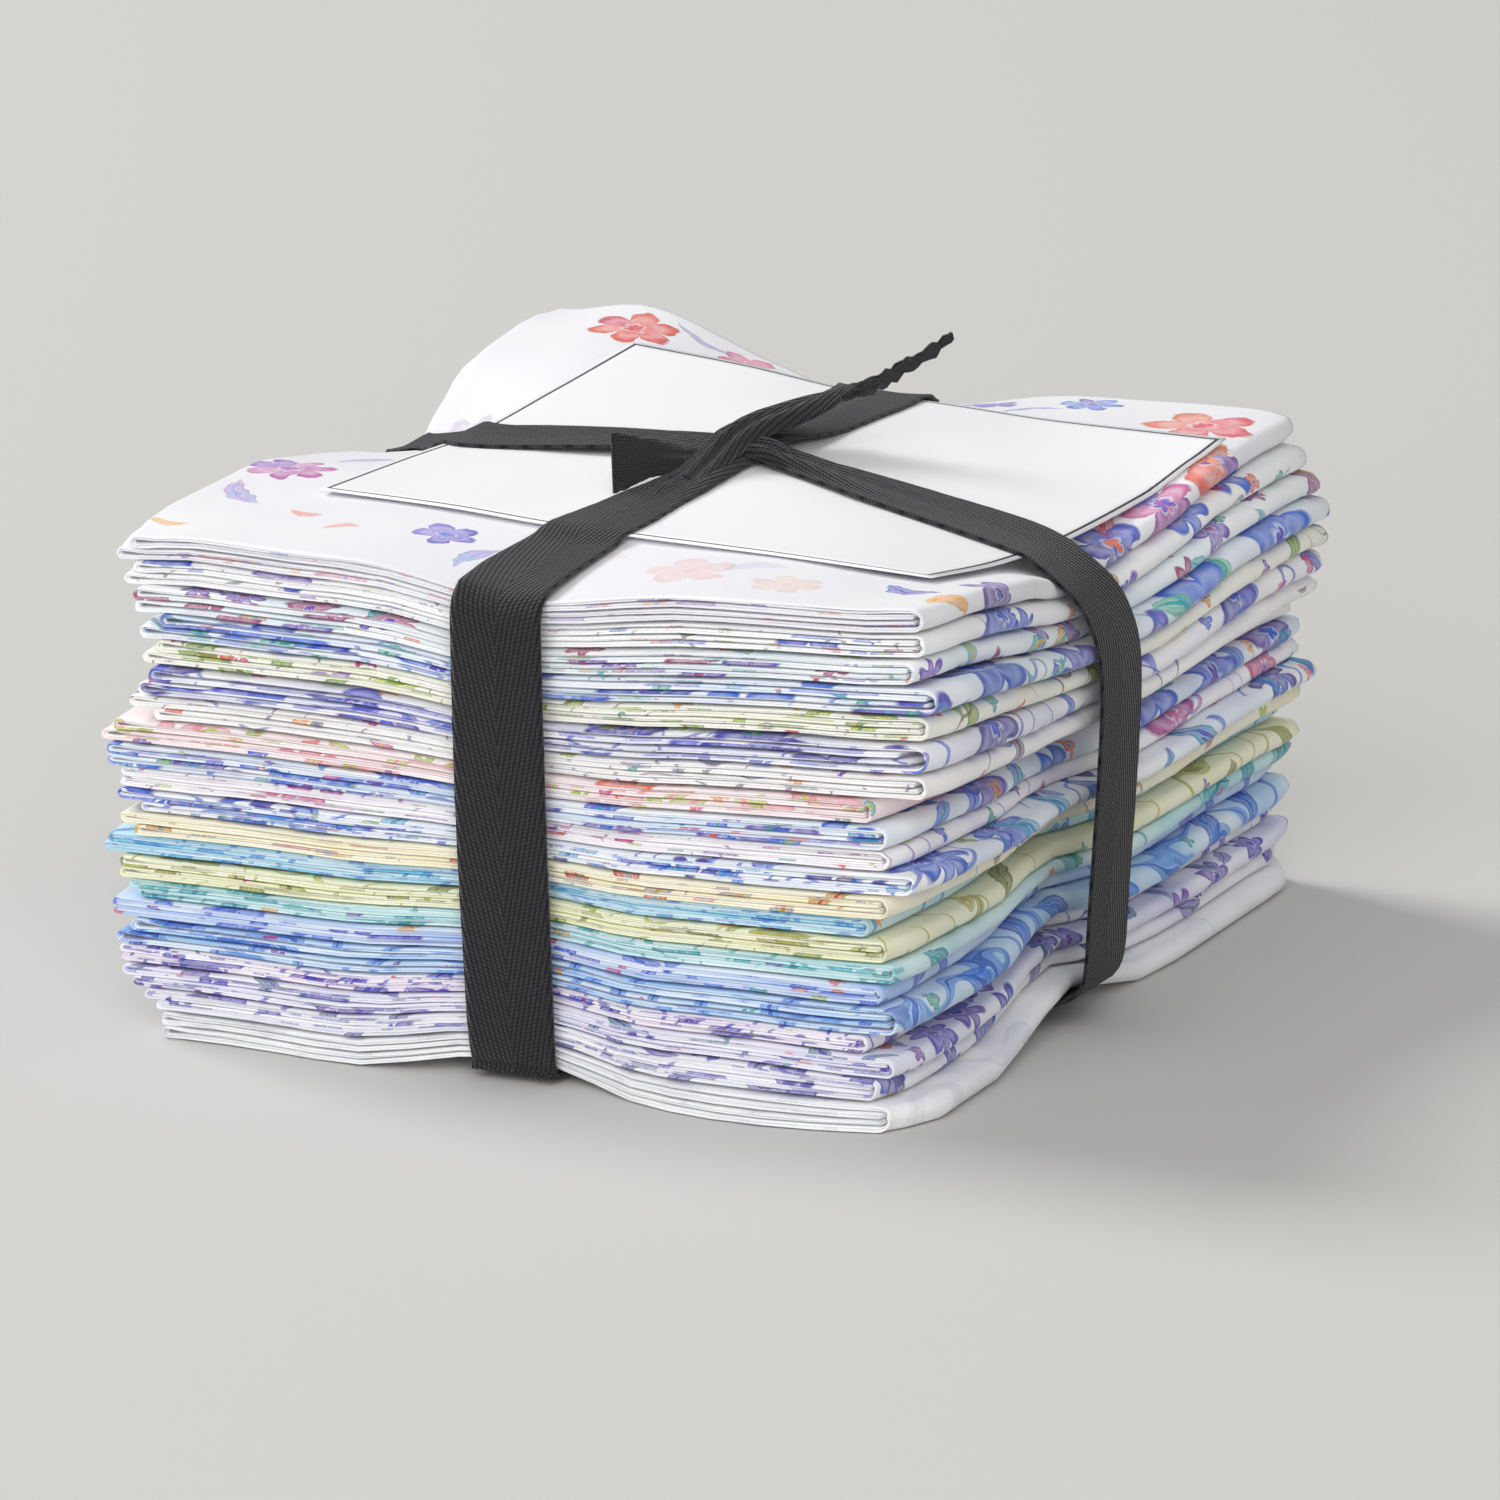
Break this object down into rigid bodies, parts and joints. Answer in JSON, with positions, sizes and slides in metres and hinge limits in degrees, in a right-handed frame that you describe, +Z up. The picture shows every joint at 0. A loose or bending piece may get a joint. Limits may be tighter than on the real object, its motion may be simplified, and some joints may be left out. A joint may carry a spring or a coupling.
{
  "type": "fat quarter bundle",
  "caption": "Bundle of folded printed cotton fat quarters, stacked and tied both ways with black cotton tape knotted on top, a bare card under the tape.",
  "frame": {"origin": "on the surface the bundle rests on, under the middle of its bounding box", "axes": "+Z up; +X towards the closed folds of the cloths; +Y along the closed folds, away from the face with the tape's short free end; the layer ends show at -Y and +Y"},
  "size_m": [0.1514, 0.169, 0.1047],
  "materials": {
    "cotton print 01": "matte printed cotton",
    "cotton print 02": "matte printed cotton",
    "cotton print 03": "matte printed cotton",
    "cotton print 04": "matte printed cotton",
    "cotton print 05": "matte printed cotton",
    "cotton print 06": "matte printed cotton",
    "cotton print 07": "matte printed cotton",
    "cotton print 08": "matte printed cotton",
    "cotton print 09": "matte printed cotton",
    "cotton print 10": "matte printed cotton",
    "cotton print 11": "matte printed cotton",
    "cotton print 12": "matte printed cotton",
    "cotton print 13": "matte printed cotton",
    "cotton print 14": "matte printed cotton",
    "cotton print 15": "matte printed cotton",
    "cotton print 16": "matte printed cotton",
    "cotton print 17": "matte printed cotton",
    "cotton print 18": "matte printed cotton",
    "cotton print 19": "matte printed cotton",
    "cotton print 20": "matte printed cotton",
    "cotton print 21": "matte printed cotton",
    "card": "smooth white card, matte",
    "black cotton tape": "matte ribbed twill"
  },
  "bodies": {
    "root": {"fat_quarter_01": "cotton print 01", "fat_quarter_02": "cotton print 02", "fat_quarter_03": "cotton print 03", "fat_quarter_04": "cotton print 04", "fat_quarter_05": "cotton print 05", "fat_quarter_06": "cotton print 06", "fat_quarter_07": "cotton print 07", "fat_quarter_08": "cotton print 08", "fat_quarter_09": "cotton print 09", "fat_quarter_10": "cotton print 10", "fat_quarter_11": "cotton print 11", "fat_quarter_12": "cotton print 12", "fat_quarter_13": "cotton print 13", "fat_quarter_14": "cotton print 14", "fat_quarter_15": "cotton print 15", "fat_quarter_16": "cotton print 16", "fat_quarter_17": "cotton print 17", "fat_quarter_18": "cotton print 18", "fat_quarter_19": "cotton print 19", "fat_quarter_20": "cotton print 20", "fat_quarter_21": "cotton print 21", "label_card": "card", "tie_tape": "black cotton tape"}
  },
  "joints": []
}
